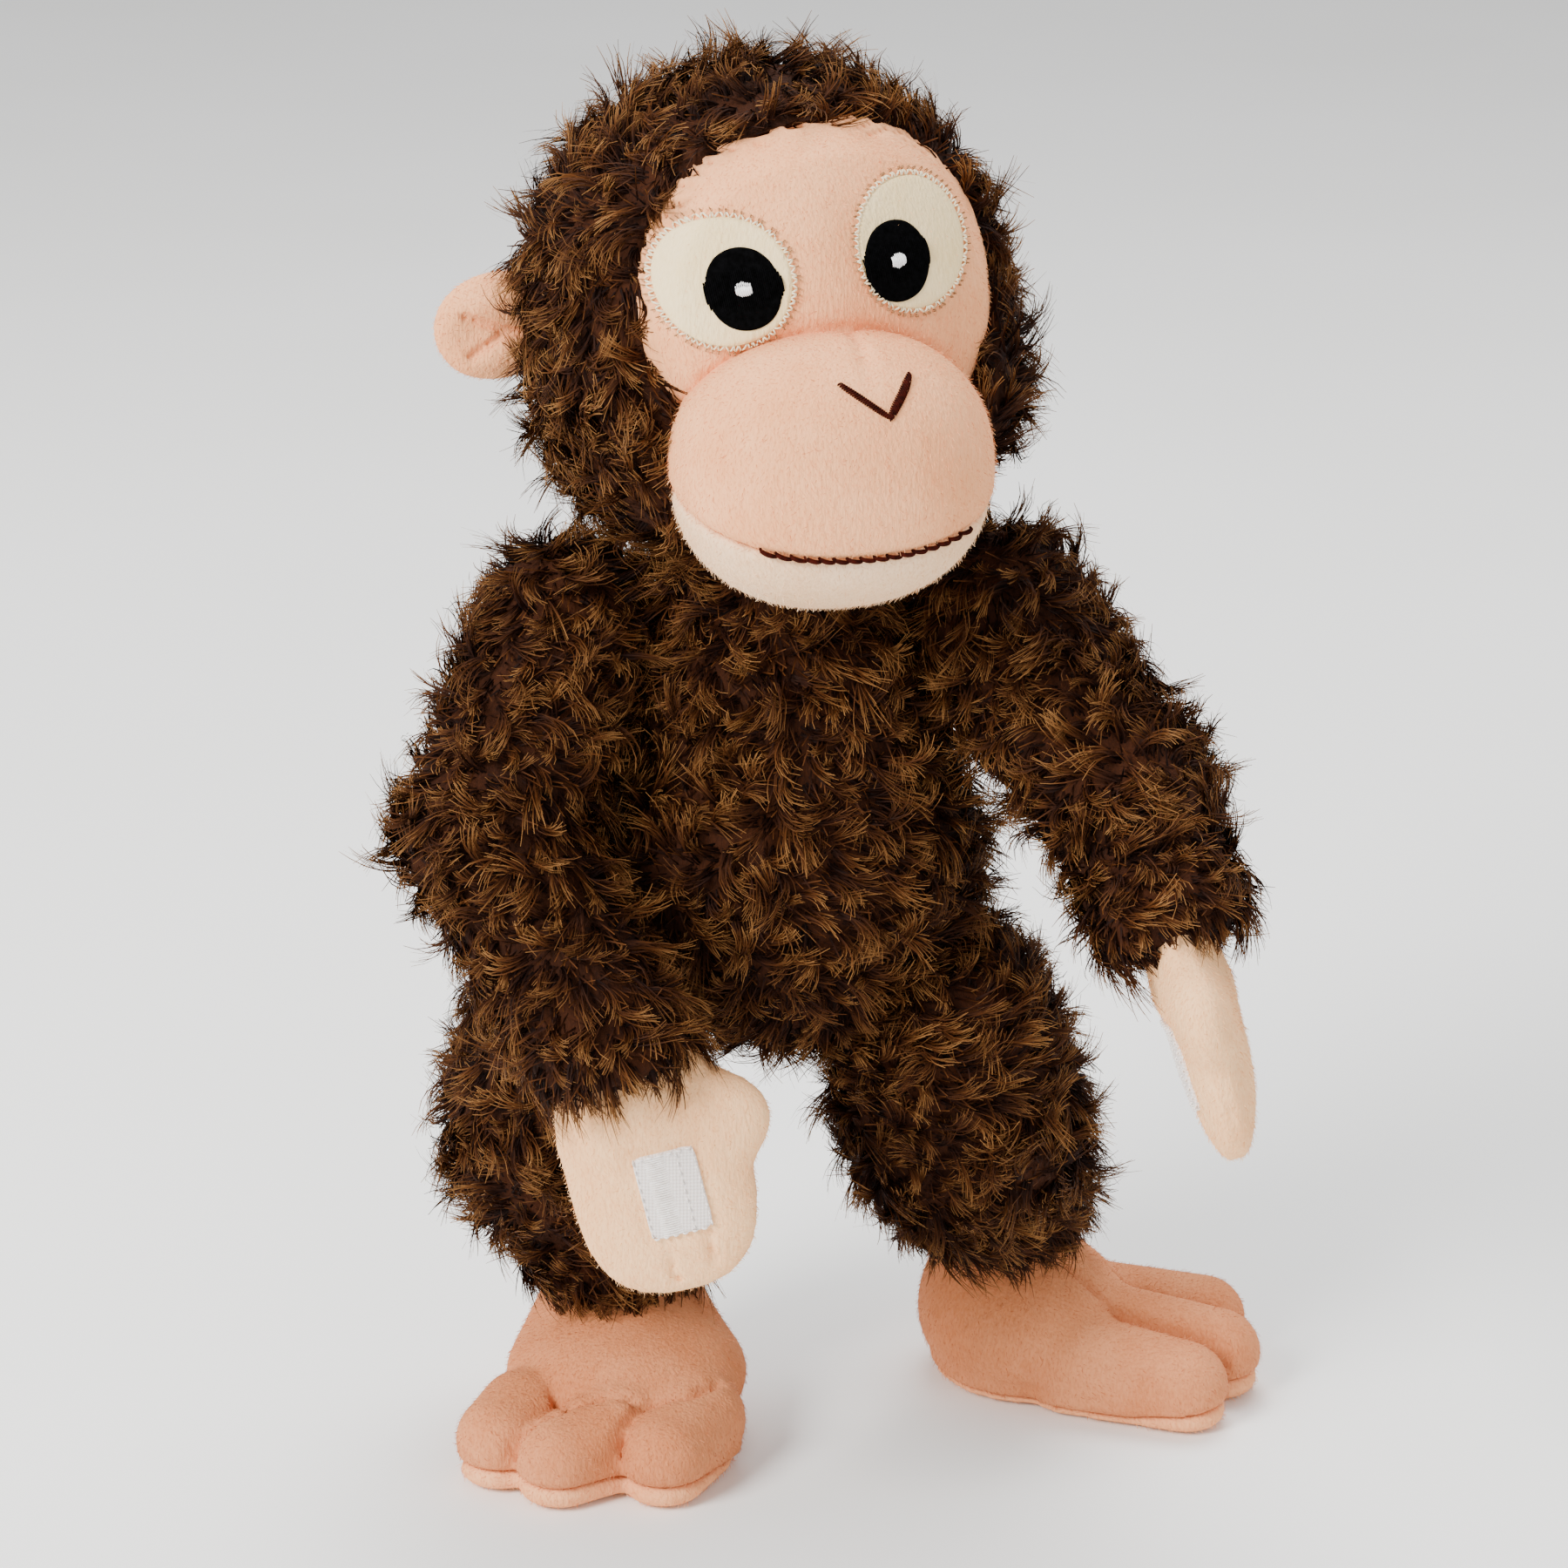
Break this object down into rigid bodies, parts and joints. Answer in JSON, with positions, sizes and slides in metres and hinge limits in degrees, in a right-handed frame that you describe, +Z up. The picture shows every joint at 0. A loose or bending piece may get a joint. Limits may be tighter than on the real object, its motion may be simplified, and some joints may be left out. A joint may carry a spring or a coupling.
{
  "type": "stuffed monkey",
  "caption": "Standing soft toy ape with plush covers, fibre filling, sewn face and hook-and-loop palms; head, arms, hands, legs and feet turn at their seams.",
  "frame": {"origin": "on the floor, under the middle of the whole toy", "axes": "+Z up, -Y the way the body faces, +X to the toy's own left"},
  "size_m": [0.2126, 0.153, 0.3481],
  "materials": {
    "brown_plush": "long curly pile, matt",
    "peach_plush": "short soft pile",
    "pale_plush": "short soft pile",
    "hand_plush": "short soft pile",
    "foot_plush": "short soft pile",
    "sole_plush": "short soft pile",
    "eye_cloth": "felted, matt",
    "black_thread": "satin stitch",
    "white_thread": "satin stitch",
    "dark_thread": "satin stitch",
    "hook_tape": "woven tape",
    "filling": "loose fibre"
  },
  "bodies": {
    "torso": {"torso_cover": "brown_plush", "torso_fill": "filling"},
    "neck": {"neck_cover": "brown_plush", "neck_fill": "filling"},
    "head": {"head_cover": "brown_plush", "head_fill": "filling", "face_panel": "peach_plush", "muzzle_cover": "peach_plush", "chin_panel": "pale_plush", "muzzle_fill": "filling", "right_eye_patch": "eye_cloth", "left_eye_patch": "eye_cloth", "right_pupil": "black_thread", "left_pupil": "black_thread", "right_highlight": "white_thread", "left_highlight": "white_thread", "nose_stitch": "dark_thread", "mouth_stitch": "dark_thread", "right_ear": "peach_plush", "left_ear": "peach_plush"},
    "right_arm": {"right_arm_cover": "brown_plush", "right_arm_fill": "filling"},
    "right_hand": {"right_hand_palm": "hand_plush", "right_hand_back": "hand_plush", "right_hand_fill": "filling", "right_palm_patch": "hook_tape"},
    "right_leg": {"right_leg_cover": "brown_plush", "right_leg_fill": "filling"},
    "right_foot": {"right_foot_upper": "foot_plush", "right_foot_sole": "sole_plush", "right_foot_fill": "filling"},
    "left_arm": {"left_arm_cover": "brown_plush", "left_arm_fill": "filling"},
    "left_hand": {"left_hand_palm": "hand_plush", "left_hand_back": "hand_plush", "left_hand_fill": "filling", "left_palm_patch": "hook_tape"},
    "left_leg": {"left_leg_cover": "brown_plush", "left_leg_fill": "filling"},
    "left_foot": {"left_foot_upper": "foot_plush", "left_foot_sole": "sole_plush", "left_foot_fill": "filling"}
  },
  "joints": [
    {"name": "neck_turn", "type": "hinge", "parent": "torso", "child": "neck", "pos_m": [-0.018, 0.015, 0.24], "axis": [0, 0, 1], "range_deg": [-38, 25]},
    {"name": "head_nod", "type": "hinge", "parent": "neck", "child": "head", "pos_m": [-0.018, 0.015, 0.24], "axis": [0.9613, 0.2756, 0], "range_deg": [-15, 8]},
    {"name": "right_shoulder_swing", "type": "hinge", "parent": "torso", "child": "right_arm", "pos_m": [-0.065, 0.014, 0.208], "axis": [-0.866, 0.5, 0], "range_deg": [0, 58]},
    {"name": "left_shoulder_swing", "type": "hinge", "parent": "torso", "child": "left_arm", "pos_m": [0.036, 0.014, 0.21], "axis": [-1, 0, 0], "range_deg": [-25, 55]},
    {"name": "right_wrist_bend", "type": "hinge", "parent": "right_arm", "child": "right_hand", "pos_m": [-0.053, -0.051, 0.127], "axis": [-0.9741, 0, -0.2261], "range_deg": [-8, 60]},
    {"name": "left_wrist_bend", "type": "hinge", "parent": "left_arm", "child": "left_hand", "pos_m": [0.072, -0.048, 0.16], "axis": [0, 0.9903, -0.1386], "range_deg": [-45, 10]},
    {"name": "right_hip_swing", "type": "hinge", "parent": "torso", "child": "right_leg", "pos_m": [-0.064, 0.013, 0.11], "axis": [-0.8192, 0.5736, 0], "range_deg": [-3, 60]},
    {"name": "left_hip_swing", "type": "hinge", "parent": "torso", "child": "left_leg", "pos_m": [0.023, 0.013, 0.11], "axis": [-1, 0, 0], "range_deg": [-10, 72]},
    {"name": "right_ankle_bend", "type": "hinge", "parent": "right_leg", "child": "right_foot", "pos_m": [-0.056, 0.03, 0.036], "axis": [-0.9903, 0.1392, 0], "range_deg": [-16, 16]},
    {"name": "left_ankle_bend", "type": "hinge", "parent": "left_leg", "child": "left_foot", "pos_m": [0.042, 0.046, 0.036], "axis": [-0.2079, -0.9781, 0], "range_deg": [-16, 16]}
  ]
}
